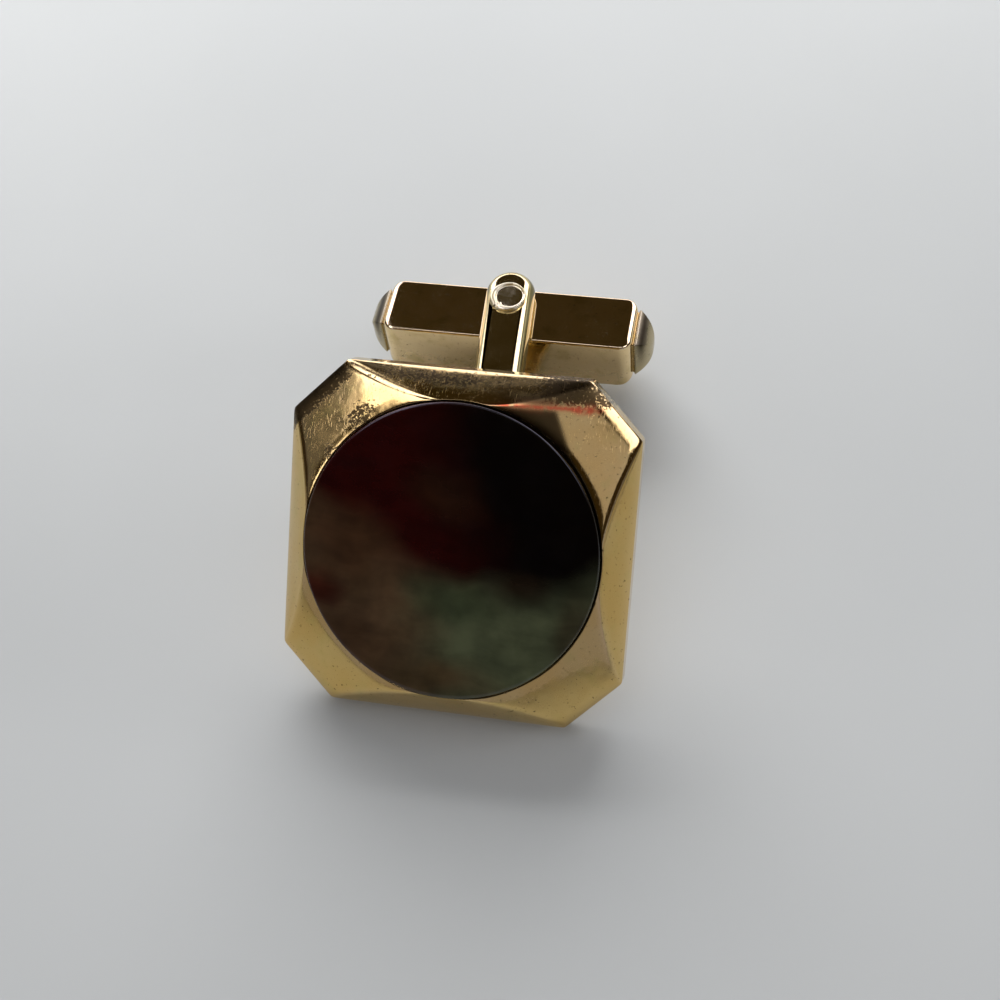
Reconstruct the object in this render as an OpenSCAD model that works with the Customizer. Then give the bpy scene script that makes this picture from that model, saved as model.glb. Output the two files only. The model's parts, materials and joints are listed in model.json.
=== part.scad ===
// Swivel-bar cufflink, standing as it rests on a table: on the lower back edge of its square head
// and on the rivet under the fork. Millimetres, +Z up, the face looks forward (-Y) and up, +X is
// to the right of someone who looks at the face. The origin is on the table, under the middle.

/* [Head] */
// Width of the square head across its flats
head_w = 19; // [15:0.1:24]
// Leg of each cut corner, as a share of the head's width
corner_share = 0.153; // [0.1:0.001:0.2]
// Height of the plain side wall
side_h = 1.4; // [1.3:0.1:2.4]
// Height of the facets' highest points above the side wall
ridge_h = 1.95; // [1.5:0.05:2.6]
// Turn from the middle of a side to the ridge beside it, in degrees
ridge_turn = 13; // [9:1:18]
// How far a facet bulges from flat
facet_bulge = 0.06; // [0.02:0.01:0.15]
// Radius of the eight upright edges
upright_r = 0.35; // [0.1:0.05:0.6]
// Wall left round the back plate
rim_wall = 0.7; // [0.4:0.05:1]
// Thickness of the floor under the disc
seat_web = 0.6; // [0.3:0.05:0.7]

/* [Disc] */
// Diameter of the pearl disc, as a share of the head's width
disc_share = 0.842; // [0.65:0.001:0.88]
// Thickness of the pearl disc
disc_t = 1.5; // [1.2:0.05:1.8]
// How far the disc stands above the ridges
disc_proud = 0.05; // [0:0.05:0.5]
// Width of the bevel round the disc's face
disc_bevel = 0.14; // [0.05:0.01:0.4]
// Gap round the disc
disc_gap = 0.1; // [0.03:0.01:0.2]
// Thickness of the cement under the disc
cement_t = 0.1; // [0.05:0.01:0.2]

/* [Back plate] */
// Thickness of the back plate
plate_t = 0.6; // [0.3:0.05:0.8]
// Depth of the back plate below the rim
plate_sink = 0.1; // [0:0.05:0.3]
// Gap round the back plate
plate_gap = 0.03; // [0.01:0.01:0.1]
// Diameter of the post's pad
pad_d = 6.4; // [5.6:0.1:9]
// Thickness of the post's pad
pad_t = 0.5; // [0.3:0.05:0.9]
// Leg of the solder bead round the pad
solder_leg = 0.35; // [0.15:0.05:0.5]

/* [Fork] */
// Angle between the post and the head's back, measured from square, in degrees
post_lean = 45; // [36:1:52]
// Distance from the head's back to the pivot, along the post
post_len = 14.9; // [14:0.1:18]
// Width of the fork
fork_w = 2.9; // [2.5:0.1:3.6]
// Thickness of the post below the fork
stem_t = 2.3; // [1.8:0.1:3]
// Thickness of each arm
arm_t = 1.15; // [0.8:0.05:1.3]
// How far the middle of the arms' round ends lies past the rivet
arm_over = 1; // [0:0.1:1.2]
// Width of the slope along each outer edge of an arm
slope_w = 0.4; // [0.2:0.05:0.6]
// Depth of that slope
slope_h = 0.55; // [0.3:0.05:0.65]
// Gap between each arm and the bar
arm_gap = 0.2; // [0.1:0.01:0.3]
// Room between the tip of the turned bar and the fork
tip_room = 0.35; // [0.2:0.05:0.6]
// Turn of the fork about the rivet, away from square to the head, in degrees
fork_skew = 4; // [0:0.5:6]

/* [Bar] */
// Length of the bar's box
bar_len = 14.9; // [13:0.1:16]
// Width of the bar, along the post
bar_w = 3.85; // [3.3:0.05:4.4]
// Height of the bar, along the pivot
bar_h = 3.5; // [3.2:0.1:4.2]
// Wall of the bar
bar_wall = 0.45; // [0.3:0.05:0.55]
// Radius of the bar's corners, seen along the pivot
bar_corner_r = 0.4; // [0.1:0.05:0.6]
// Radius of the bar's lower corners, seen along the post
bar_heel_r = 0.6; // [0.2:0.05:1]
// How far the end caps stand out
cap_rise = 1.1; // [0.8:0.05:1.5]
// Step from the bar's end face in to an end cap
cap_step = 0.06; // [0.03:0.01:0.15]
// Power of an end cap's outline: the lower it is, the blunter the dome
cap_power = 0.45; // [0.3:0.05:0.9]
// Width of the flat at an end cap's tip, as a share of its base
cap_tip_share = 0.1; // [0.05:0.01:0.3]
// Length of an end cap's plug
plug_len = 1.2; // [0.8:0.1:1.6]
// Gap round an end cap's plug
plug_gap = 0.02; // [0.01:0.01:0.05]

/* [Pivot] */
// Diameter of the rivet
pin_d = 1.6; // [1.3:0.05:1.7]
// Diameter of the rivet's heads
pin_head_d = 2.2; // [1.9:0.05:2.4]
// Height of the rivet's heads
pin_head_h = 0.25; // [0.15:0.05:0.4]
// Width of the slope round each rivet head
pin_head_slope = 0.15; // [0.05:0.01:0.2]
// Running gap between the rivet and the bar
pin_run = 0.05; // [0.03:0.01:0.08]
// Gap between the rivet and the arms
pin_hold = 0.015; // [0.005:0.005:0.03]
// Depth of the four flats in the middle of the rivet
pin_flat = 0.08; // [0.04:0.01:0.12]
// Thickness of the click spring
spring_t = 0.2; // [0.15:0.01:0.22]
// Length of the click spring
spring_len = 10; // [7:0.1:10.8]
// Gap between the click spring and what it lies beside
spring_gap = 0.03; // [0.02:0.01:0.05]

/* [Hidden] */

gold = "#b8964a";
worn_gold = "#a98a48";
pearl = "#2a1a16";
cement = "#c8bfa2";
steel = "#8d9094";
solder = "#b9b19a";

// Faces round a full turn, for small round parts and large ones
small_fn = 72;
large_fn = 240;
// Steps along a rounded corner and along an end cap's outline
arc_steps = 5;
cap_steps = 7;

// The head
half_w = head_w / 2;
corner_cut = head_w * corner_share;
disc_d = head_w * disc_share;
half_diagonal = (head_w - corner_cut) / sqrt(2);
opening_r = disc_d / 2 + disc_gap;
side_foot = [half_w, 0];
side_top = [opening_r * cos(ridge_turn), ridge_h];
corner_foot = [half_diagonal, 0];
corner_top = [opening_r * cos(45 - ridge_turn), ridge_h];
disc_top = ridge_h + disc_proud;
seat_z = disc_top - disc_t - cement_t;
plate_face = plate_sink - side_h;
plate_w = head_w - 2 * rim_wall;
plate_cut = corner_cut * plate_w / head_w;
cavity_r = opening_r - rim_wall;
pad_face = plate_face - pad_t;
pad_x = post_len * sin(fork_skew);
overrun = side_h;

// The fork and the bar
bar_half_len = bar_len / 2;
slot_half = bar_h / 2 + arm_gap;
fork_half = slot_half + arm_t;
fork_r = fork_w / 2;
slot_depth = bar_half_len + cap_rise + tip_room;
slot_corner_r = arm_t;
pin_r = pin_d / 2;
bar_top_r = arm_gap;
hole_w = bar_w - 2 * bar_wall;
hole_h = bar_h - 2 * bar_wall;
plug_w = hole_w - 2 * plug_gap;
plug_h = hole_h - 2 * plug_gap;
cap_half_w = bar_w / 2 - bar_corner_r - cap_step;
cap_top = bar_h / 2 - bar_top_r - cap_step;
cap_bottom = bar_h / 2 - bar_heel_r - cap_step;
spring_near = pin_r + spring_gap;
spring_far = hole_w / 2 - spring_gap;
spring_bow = spring_far - spring_near - spring_t;
spring_r = bow_radius(spring_len, spring_bow);

// The pivot, in the head's frame: the post starts in the middle of the head's back
pivot_y = post_len * sin(post_lean);
pivot_z = -side_h - post_len * cos(post_lean);

// The lowest point of the lower rivet head, and how far the head leans to rest on it
heel_reach = pin_head_d / 2 - pin_head_slope;
heel_drop = fork_half + pin_head_h;
heel_y = pivot_y + heel_reach * sin(post_lean) - heel_drop * cos(post_lean);
heel_z = pivot_z - heel_reach * cos(post_lean) - heel_drop * sin(post_lean);
head_lean = atan2(-side_h - heel_z, heel_y + half_w);

// Where the table and the middle of the whole lie
bar_tilt = head_lean + post_lean - 90;
table_z = -half_w * sin(head_lean) - side_h * cos(head_lean);
front_y = -half_w * cos(head_lean);
pivot_back_y = pivot_y * cos(head_lean) - pivot_z * sin(head_lean);
bar_back_y = pivot_back_y + bar_w / 2 * cos(bar_tilt) - bar_h / 2 * sin(bar_tilt);
arm_reach = arm_over * cos(fork_skew) + fork_r;
arm_back_y = pivot_back_y + arm_reach * cos(bar_tilt) - (fork_half - slope_h) * sin(bar_tilt);
back_y = max(bar_back_y, arm_back_y);

// Radius of an arc with a given chord and bow
function bow_radius(chord, bow) = (chord * chord / 4 + bow * bow) / (2 * bow);

function unit(v) = v / norm(v);

// The points that round the corner b between a and c
function corner_arc(a, b, c, r) =
    let (
        u = unit(a - b),
        v = unit(c - b),
        half_angle = acos(u * v) / 2,
        centre = b + unit(u + v) * r / sin(half_angle),
        start = b + u * r / tan(half_angle) - centre,
        finish = b + v * r / tan(half_angle) - centre,
        from = atan2(start.y, start.x),
        turn = (atan2(finish.y, finish.x) - from + 540) % 360 - 180
    )
    [for (i = [0:arc_steps]) let (to = from + turn * i / arc_steps) centre + r * [cos(to), sin(to)]];

// A polygon with a radius at each corner, where zero keeps the corner sharp
function rounded(points, radii) =
    let (n = len(points))
    [
        for (i = [0:n - 1])
            each radii[i] == 0
                ? [points[i]]
                : corner_arc(points[(i + n - 1) % n], points[i], points[(i + 1) % n], radii[i])
    ];

// The corners of a square with cut corners
function cut_square(w, cut) =
    let (h = w / 2, k = w / 2 - cut)
    [[h, -k], [h, k], [k, h], [-k, h], [-h, k], [-h, -k], [-k, -h], [k, -h]];

// Stands what is modelled in the head's frame (face up +Y, front +Z) on the table
module on_table() {
    translate([0, -(front_y + back_y) / 2, -table_z])
        rotate([head_lean, 0, 0])
            children();
}

// Puts what is modelled round the pivot (+Y away from the head, +Z up along the rivet) on the head
module at_pivot() {
    translate([0, pivot_y, pivot_z])
        rotate([post_lean - 90, 0, 0])
            children();
}

// What is cut away above one slightly bulged facet, which rises from foot to top
module above_facet(foot, top) {
    chord = norm(top - foot);
    r = bow_radius(chord, facet_bulge);
    outward = unit([top.y - foot.y, foot.x - top.x]);
    centre = (foot + top) / 2 - outward * (r - facet_bulge);
    difference() {
        translate([0, -head_w, -overrun])
            cube([2 * head_w, 2 * head_w, 2 * head_w]);
        translate([centre.x, 0, centre.y])
            rotate([90, 0, 0])
                cylinder(r = r, h = 3 * head_w, center = true, $fn = large_fn);
    }
}

// The struck head: side walls, eight facets, the disc's seat and the recess for the back plate
module face_frame() {
    radii = [for (i = [0:7]) upright_r];
    color(gold)
        on_table()
            difference() {
                translate([0, 0, -side_h])
                    linear_extrude(side_h + 2 * ridge_h)
                        polygon(rounded(cut_square(head_w, corner_cut), radii));
                for (i = [0:3]) {
                    rotate([0, 0, 90 * i])
                        above_facet(side_foot, side_top);
                    rotate([0, 0, 90 * i + 45])
                        above_facet(corner_foot, corner_top);
                }
                translate([0, 0, seat_z])
                    cylinder(r = opening_r, h = side_h + 2 * ridge_h, $fn = large_fn);
                translate([0, 0, -side_h - overrun])
                    linear_extrude(overrun + plate_sink + plate_t)
                        polygon(cut_square(plate_w, plate_cut));
                translate([0, 0, -side_h])
                    cylinder(r = cavity_r, h = side_h + seat_z - seat_web, $fn = large_fn);
            }
}

// Mother-of-pearl disc with a bevelled edge
module pearl_disc() {
    r = disc_d / 2;
    shoulder = disc_t - disc_bevel;
    color(pearl)
        on_table()
            translate([0, 0, disc_top - disc_t])
                rotate_extrude($fn = large_fn)
                    polygon([[0, 0], [r, 0], [r, shoulder], [r - disc_bevel, disc_t], [0, disc_t]]);
}

// Cement under the disc
module cement_bed() {
    color(cement)
        on_table()
            translate([0, 0, seat_z])
                cylinder(d = disc_d - 2 * disc_bevel, h = cement_t, $fn = large_fn);
}

// Plate that closes the back of the head
module back_plate() {
    color(worn_gold)
        on_table()
            translate([0, 0, plate_face])
                linear_extrude(plate_t)
                    polygon(cut_square(plate_w - 2 * plate_gap, plate_cut - plate_gap));
}

// Round pad between the back plate and the post
module post_base() {
    color(worn_gold)
        on_table()
            translate([pad_x, 0, pad_face])
                cylinder(d = pad_d, h = pad_t, $fn = large_fn);
}

// Bead of solder in the corner between the pad and the plate
module solder_fillet() {
    r = pad_d / 2;
    color(solder)
        on_table()
            translate([pad_x, 0, plate_face])
                rotate_extrude($fn = large_fn)
                    polygon([[r, 0], [r + solder_leg, 0], [r, -solder_leg]]);
}

// Outline of the fork from the side: x runs away from the head, y up along the rivet
module fork_side() {
    root = -slot_depth - arm_t;
    throat = -slot_depth - arm_t - stem_t;
    stem_half = stem_t / 2;
    foot = -2 * post_len;
    tip = arm_over + 2 * fork_r;
    outer = [
        [tip, -fork_half], [tip, -slot_half], [-slot_depth, -slot_half],
        [-slot_depth, slot_half], [tip, slot_half], [tip, fork_half],
        [root, fork_half], [throat, stem_half], [foot, stem_half],
        [foot, -stem_half], [throat, -stem_half], [root, -fork_half]
    ];
    radii = [
        0, 0, slot_corner_r, slot_corner_r, 0, 0,
        stem_half, stem_half, 0, 0, stem_half, stem_half
    ];
    polygon(rounded(outer, radii));
}

// Section of the fork: its edge slopes run on past the arms' faces, where the side outline ends them
module fork_section() {
    k = fork_r - 2 * slope_w;
    m = fork_half - slope_h;
    n = fork_half + slope_h;
    polygon([[k, -n], [fork_r, -m], [fork_r, m], [k, n], [-k, n], [-fork_r, m], [-fork_r, -m], [-k, -n]]);
}

// The right half of that section, for the round ends
module half_fork_section() {
    difference() {
        fork_section();
        translate([-fork_w, -2 * fork_half])
            square([fork_w, 4 * fork_half]);
    }
}

// Forked post: a stem that meets the pad on a slant, and two arms that straddle the bar
module fork() {
    reach = 2 * post_len;
    color(gold)
        on_table()
            difference() {
                at_pivot()
                    rotate([0, 0, fork_skew])
                        difference() {
                            intersection() {
                                translate([-fork_w, 0, 0])
                                    rotate([90, 0, 90])
                                        linear_extrude(2 * fork_w)
                                            fork_side();
                                translate([0, arm_over, 0]) {
                                    rotate([90, 0, 0])
                                        linear_extrude(reach)
                                            fork_section();
                                    rotate_extrude($fn = small_fn)
                                        half_fork_section();
                                }
                            }
                            cylinder(r = pin_r + pin_hold, h = 3 * fork_half, center = true, $fn = small_fn);
                        }
                translate([-reach / 2, -reach / 2, pad_face])
                    cube([reach, reach, 2 * reach]);
            }
}

// Spread head of the rivet, on the upper arm
module pin_head() {
    translate([0, 0, fork_half])
        cylinder(r1 = pin_head_d / 2, r2 = pin_head_d / 2 - pin_head_slope, h = pin_head_h, $fn = small_fn);
}

// Rivet through the arms and the bar, with four flats where the click spring bears on it
module pivot_pin() {
    flat_h = hole_h - 2 * spring_gap;
    flat_w = pin_d - 2 * pin_flat;
    color(worn_gold)
        on_table()
            at_pivot() {
                pin_head();
                mirror([0, 0, 1])
                    pin_head();
                difference() {
                    cylinder(r = pin_r, h = 2 * fork_half, center = true, $fn = small_fn);
                    for (i = [0:3])
                        rotate([0, 0, 90 * i])
                            translate([flat_w / 2, -pin_d / 2, -flat_h / 2])
                                cube([pin_d, pin_d, flat_h]);
                }
            }
}

// The bar's outer form: square-cornered above, with rounded lower corners at its ends
module bar_form() {
    x = bar_half_len;
    y = bar_w / 2;
    z = bar_h / 2;
    c = bar_corner_r;
    intersection() {
        translate([0, 0, -z])
            linear_extrude(bar_h)
                polygon(rounded([[x, -y], [x, y], [-x, y], [-x, -y]], [c, c, c, c]));
        translate([0, y, 0])
            rotate([90, 0, 0])
                linear_extrude(bar_w)
                    polygon(rounded(
                        [[x, -z], [x, z], [-x, z], [-x, -z]],
                        [bar_heel_r, bar_top_r, bar_top_r, bar_heel_r]
                    ));
    }
}

// Box-section swivel bar, open at both ends and bored for the rivet
module toggle_tube() {
    color(gold)
        on_table()
            at_pivot()
                difference() {
                    bar_form();
                    cube([2 * bar_len, hole_w, hole_h], center = true);
                    cylinder(r = pin_r + pin_run, h = 2 * bar_h, center = true, $fn = small_fn);
                }
}

// Width of an end cap at a share t of its rise, as a share of its base
function cap_width(t) = cap_tip_share + (1 - cap_tip_share) * pow(1 - t, cap_power);

// Outline of an end cap from above or from the front, with its base on the Y axis and more steps at its tip
module cap_outline(above, below) {
    rise = [for (i = [0:cap_steps]) 1 - pow(1 - i / cap_steps, 2)];
    fall = [for (i = [0:cap_steps]) 1 - pow(i / cap_steps, 2)];
    polygon(concat(
        [for (t = rise) [cap_rise * t, above * cap_width(t)]],
        [for (t = fall) [cap_rise * t, -below * cap_width(t)]]
    ));
}

// End cap on the bar's +X end: a plug in the tube and a four-sided dome, curved both ways
module end_cap() {
    x = bar_half_len;
    intersection() {
        bar_form();
        translate([x - plug_len, -plug_w / 2, -plug_h / 2])
            cube([plug_len, plug_w, plug_h]);
    }
    intersection() {
        translate([x, 0, -bar_h])
            linear_extrude(2 * bar_h)
                cap_outline(cap_half_w, cap_half_w);
        translate([x, bar_w, 0])
            rotate([90, 0, 0])
                linear_extrude(2 * bar_w)
                    cap_outline(cap_top, cap_bottom);
    }
}

module toggle_cap_right() {
    color(gold)
        on_table()
            at_pivot()
                end_cap();
}

module toggle_cap_left() {
    color(gold)
        on_table()
            at_pivot()
                mirror([1, 0, 0])
                    end_cap();
}

// Bowed leaf spring inside the bar: its middle bears on the rivet, its ends on the bar's wall
module click_spring() {
    leaf_h = hole_h - 4 * spring_gap;
    color(steel)
        on_table()
            at_pivot()
                translate([0, spring_near + spring_r, 0])
                    intersection() {
                        difference() {
                            cylinder(r = spring_r, h = leaf_h, center = true, $fn = large_fn);
                            cylinder(r = spring_r - spring_t, h = bar_h, center = true, $fn = large_fn);
                        }
                        translate([-spring_len / 2, -spring_r - bar_w, -bar_h])
                            cube([spring_len, 2 * bar_w, 2 * bar_h]);
                    }
}

face_frame();
pearl_disc();
cement_bed();
back_plate();
post_base();
solder_fillet();
fork();
pivot_pin();
toggle_tube();
toggle_cap_left();
toggle_cap_right();
click_spring();
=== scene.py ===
"""Looks for the swivel-bar cufflink: a faceted gold-tone head round a dark pearl disc, and its bar."""
import json
import math

import bmesh
import bpy
import numpy as np
from mathutils import Matrix, Vector, noise

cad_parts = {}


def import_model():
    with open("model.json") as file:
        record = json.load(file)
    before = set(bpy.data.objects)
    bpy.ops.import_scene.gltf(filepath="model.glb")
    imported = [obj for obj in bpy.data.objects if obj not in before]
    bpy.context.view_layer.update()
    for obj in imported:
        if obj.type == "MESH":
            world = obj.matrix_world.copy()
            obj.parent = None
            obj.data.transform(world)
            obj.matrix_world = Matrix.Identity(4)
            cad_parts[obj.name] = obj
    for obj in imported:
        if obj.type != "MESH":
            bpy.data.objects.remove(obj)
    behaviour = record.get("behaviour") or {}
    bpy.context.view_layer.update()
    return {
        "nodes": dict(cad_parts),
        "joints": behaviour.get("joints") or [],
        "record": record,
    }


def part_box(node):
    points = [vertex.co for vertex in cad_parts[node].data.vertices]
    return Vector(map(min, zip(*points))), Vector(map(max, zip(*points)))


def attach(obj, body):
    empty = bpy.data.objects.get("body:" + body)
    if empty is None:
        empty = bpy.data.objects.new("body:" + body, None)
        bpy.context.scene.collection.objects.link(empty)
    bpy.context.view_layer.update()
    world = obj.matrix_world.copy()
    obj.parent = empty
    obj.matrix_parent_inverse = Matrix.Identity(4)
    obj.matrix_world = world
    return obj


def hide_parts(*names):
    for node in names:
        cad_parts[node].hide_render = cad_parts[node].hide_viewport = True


MM = 0.001

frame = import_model()


# Places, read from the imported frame
def mount(name):
    """The record's mount of that name."""
    return next(m for m in frame["record"]["mounts"] if m["name"] == name)


def frame_matrix(origin, up):
    """Matrix from local millimetres (x as the row's, z along up) to the row's metres."""
    z = Vector(up).normalized()
    x = Vector((1, 0, 0))
    y = z.cross(x)
    turn = Matrix((x, y, z)).transposed().to_4x4()
    return Matrix.Translation(origin) @ turn @ Matrix.Scale(MM, 4)


SWIVEL = frame["joints"][0]
FACE = mount("display_face")

# The head, in millimetres: x right, y up the face, z out of it, origin where the facets start
DISC_TOP = 2.0
HEAD_W = (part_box("face_frame")[1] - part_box("face_frame")[0]).x / MM
HEAD_CUT = 0.153 * HEAD_W
SIDE_H = 1.4
RIDGE_H = 1.95
OPENING_R = 8.1
RIM_WALL = 0.7
DISC_R = 8.0
DISC_T = 1.5

# Degrees round the opening from the middle of a side to the ridge beside it
RIDGE_TURN = 13

# The bar and the fork, in millimetres: x along the bar, y away from the head, z along the rivet
BAR_LEN = 14.9
BAR_W = 3.85
BAR_H = 3.5
BAR_ROOM = 0.2
ARM_T = 1.15
SLOT_HALF = BAR_H / 2 + BAR_ROOM
FORK_HALF = SLOT_HALF + ARM_T

head_to_row = frame_matrix(Vector(FACE["pos_m"]) - Vector(FACE["axis"]) * DISC_TOP * MM, FACE["axis"])
pivot_to_row = frame_matrix(SWIVEL["pos_m"], SWIVEL["axis"])


# Mesh helpers
def add_piece(name, points, faces, place, body, material, replaced=(), attributes=None):
    """Makes a smooth-shaded piece from local millimetre points and lets it ride on a body."""
    mesh = bpy.data.meshes.new(name)
    mesh.from_pydata([tuple(p) for p in points], [], faces)
    for label, values in (attributes or {}).items():
        layer = mesh.attributes.new(label, "FLOAT", "POINT")
        layer.data.foreach_set("value", np.asarray(values, np.float32))
    mesh.transform(place)
    mesh.materials.append(material)
    bm = bmesh.new()
    bm.from_mesh(mesh)
    bmesh.ops.remove_doubles(bm, verts=bm.verts, dist=0.0005 * MM)
    bmesh.ops.recalc_face_normals(bm, faces=bm.faces)
    for face in bm.faces:
        face.smooth = True
    bm.to_mesh(mesh)
    bm.free()
    obj = bpy.data.objects.new(name, mesh)
    bpy.context.scene.collection.objects.link(obj)
    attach(obj, body)
    if replaced:
        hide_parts(*replaced)


def grid_faces(rows, columns, closed_rows=False, closed_columns=False):
    """Quads of a grid of points stored row by row."""
    faces = []
    for i in range(rows if closed_rows else rows - 1):
        for j in range(columns if closed_columns else columns - 1):
            a = i * columns + j
            b = i * columns + (j + 1) % columns
            c = (i + 1) % rows * columns + (j + 1) % columns
            d = (i + 1) % rows * columns + j
            faces.append((a, b, c, d))
    return faces


def roll_drop(distance, width, depth):
    """How far an edge that is rolled over in a quarter ellipse lies below the sharp one."""
    s = min(max(distance, 0), width)
    return depth * (1 - math.sqrt(1 - ((width - s) / width) ** 2))


def eased(n):
    """n + 1 values from 0 to 1 that crowd at both ends."""
    return [0.5 - 0.5 * math.cos(math.pi * i / n) for i in range(n + 1)]


def arc(centre, radius, start, end, steps):
    """Points of an arc, with angles in degrees."""
    turns = [math.radians(start + (end - start) * i / steps) for i in range(steps + 1)]
    return [(centre[0] + radius * math.cos(t), centre[1] + radius * math.sin(t)) for t in turns]


def soft_min(values, reach):
    """The lowest value, with a soft passage where two of them are nearly the same."""
    low = min(values)
    return low - reach * math.log(sum(math.exp((low - v) / reach) for v in values))


# Soft shares, from 0 to 1
def blob(x, y, centre, size, turn):
    """1 at the middle of a soft ellipse, falling to 0."""
    c, s = math.cos(math.radians(turn)), math.sin(math.radians(turn))
    dx, dy = x - centre[0], y - centre[1]
    u, v = (dx * c + dy * s) / size[0], (dy * c - dx * s) / size[1]
    return math.exp(-(u * u + v * v) ** 1.5)


def past(value, start, soft):
    """0 well below the start and 1 well above it."""
    return 1 / (1 + math.exp(min((start - value) / soft, 50)))


def short_of(value, end, soft):
    """1 well below the end and 0 well above it."""
    return past(-value, -end, soft)


def bell(value, middle, width):
    """1 at the middle, falling to 0 to both sides."""
    return math.exp(-((value - middle) / width) ** 2)


# Material helpers
# Sockets of a Mix node that mixes colours
MIX_FACTOR, MIX_A, MIX_B, MIX_RESULT = 0, 6, 7, 2


class Nodes:
    """Short calls that add shader nodes and link them."""

    def __init__(self, tree):
        self.tree = tree

    def feed(self, socket, value):
        """Links the value to an input, or writes it there where it is a plain one."""
        if isinstance(value, bpy.types.NodeSocket):
            self.tree.links.new(value, socket)
        else:
            socket.default_value = value

    def add(self, kind, inputs=None, **settings):
        """A new node with its settings made and its inputs fed."""
        node = self.tree.nodes.new(kind)
        for key, value in settings.items():
            setattr(node, key, value)
        for key, value in (inputs or {}).items():
            self.feed(node.inputs[key], value)
        return node

    def math(self, operation, a, b=0.0, clamp=False):
        return self.add("ShaderNodeMath", {0: a, 1: b}, operation=operation, use_clamp=clamp).outputs[0]

    def times(self, a, b, clamp=False):
        return self.math("MULTIPLY", a, b, clamp)

    def total(self, first, *others):
        """The sum of two or more values."""
        for other in others:
            first = self.math("ADD", first, other)
        return first

    def vector(self, operation, a, b=(0, 0, 0)):
        """The result of a vector operation: a number for a length or a dot product, else a vector."""
        node = self.add("ShaderNodeVectorMath", {0: a, 1: b}, operation=operation)
        return node.outputs["Value" if operation in ("LENGTH", "DOT_PRODUCT") else "Vector"]

    def ramp(self, value, low, high, out_low=0.0, out_high=1.0):
        """A smooth step of value from low to high."""
        inputs = {"Value": value, "From Min": low, "From Max": high, "To Min": out_low, "To Max": out_high}
        node = self.add("ShaderNodeMapRange", inputs, interpolation_type="SMOOTHSTEP")
        return node.outputs[0]

    def noise(self, vector, scale, detail=2.0, distortion=0.0):
        """Cloudy values round 0.5, with scale clouds to the vector's unit."""
        inputs = {"Vector": vector, "Scale": scale, "Detail": detail, "Distortion": distortion}
        return self.add("ShaderNodeTexNoise", inputs).outputs[0]

    def mix(self, factor, a, b):
        """Colour a, which turns to b as the factor rises to 1."""
        inputs = {MIX_FACTOR: factor, MIX_A: a, MIX_B: b}
        return self.add("ShaderNodeMix", inputs, data_type="RGBA").outputs[MIX_RESULT]

    def bump(self, height, strength, depth):
        """The normal of a relief whose height from 0 to 1 is depth millimetres."""
        inputs = {"Height": height, "Strength": strength, "Distance": depth * MM}
        return self.add("ShaderNodeBump", inputs).outputs[0]

    def attribute(self, name):
        return self.add("ShaderNodeAttribute", attribute_name=name).outputs["Fac"]

    def millimetres(self, place=None):
        """The row's coordinates in millimetres, or a local frame's where one is given."""
        where = self.add("ShaderNodeTexCoord").outputs["Object"]
        per_mm = (1 / MM,) * 3
        if place is None:
            return self.vector("MULTIPLY", where, per_mm)
        turn = place.to_3x3().normalized().transposed()
        shift = turn @ -place.translation / MM
        inputs = {"Vector": where, "Location": shift, "Rotation": turn.to_euler(), "Scale": per_mm}
        return self.add("ShaderNodeMapping", inputs, vector_type="POINT").outputs[0]


def new_material(name):
    """A material, the calls for its nodes, and its main shader."""
    material = bpy.data.materials.new(name)
    material.use_nodes = True
    tree = material.node_tree
    return material, Nodes(tree), tree.nodes["Principled BSDF"]


def scratches(n, where, turn, scale, cut):
    """Fine straight scratches along one direction."""
    inputs = {
        "Vector": where,
        "Rotation": (turn, turn * 0.7, turn * 1.3),
        "Scale": (scale, scale * 0.03, scale * 0.4),
    }
    stretched = n.add("ShaderNodeMapping", inputs).outputs[0]
    return n.ramp(n.noise(stretched, scale=1.0, detail=1.0), cut, cut + 0.05)


def crossed_scratches(n, where, first, second):
    """Scratches along two directions, each given as its turn, how close they lie, and how rare they are."""
    return n.math("MAXIMUM", scratches(n, where, *first), scratches(n, where, *second))


# The gold's colours; the bar's, the caps' and the rivets' golds are paler or darker copies that paint light
# and shade
GOLD = (0.61, 0.43, 0.158, 1)
WARM_GOLD = (0.60, 0.40, 0.13, 1)
OLIVE_GOLD = (0.50, 0.39, 0.12, 1)
PALE_GOLD = (0.85, 0.65, 0.36, 1)
DULL_GOLD = (0.68, 0.55, 0.27, 1)
CAP_GOLD = (0.48, 0.40, 0.24, 1)
BRIGHT_GOLD = (0.95, 0.84, 0.54, 1)
# Dark of the tarnished pits, also used for painted shade
TARNISH_AND_SHADE = (0.022, 0.013, 0.005, 1)
# Orange-red of a painted reflection along the head's upper right ridge
COPPER_REFLECTION = (0.58, 0.12, 0.045, 1)

# How strongly the gold's wear shows, with depths as shares of the relief's, which is in millimetres
OLIVE_SHARE = 0.5
RUBBED_SHARE = 0.4
GRAIN_SWING = 2.6
PITTED_SHARE = 0.93
HAIR_ROUGHNESS = 0.08
PIT_ROUGHNESS = 0.22
HAIR_DEPTH = 0.03
PIT_DEPTH = 0.05
DIMPLES_WORN = 0.22
DIMPLES_CLEAN = 0.01
RELIEF_DEPTH = 0.018

# The painted shade on the fork's side walls, for the dark bar top they mirror, and how far from the shoulder
# and the lower edge it starts and is full
SIDE_SHADE = (0.12, 0.10, 0.03, 1)
SIDE_SHADE_SHARE = 0.85
UNSHADED_SHOULDER = (0.16, 0.30)
UNSHADED_EDGE = (0.05, 0.20)


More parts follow.
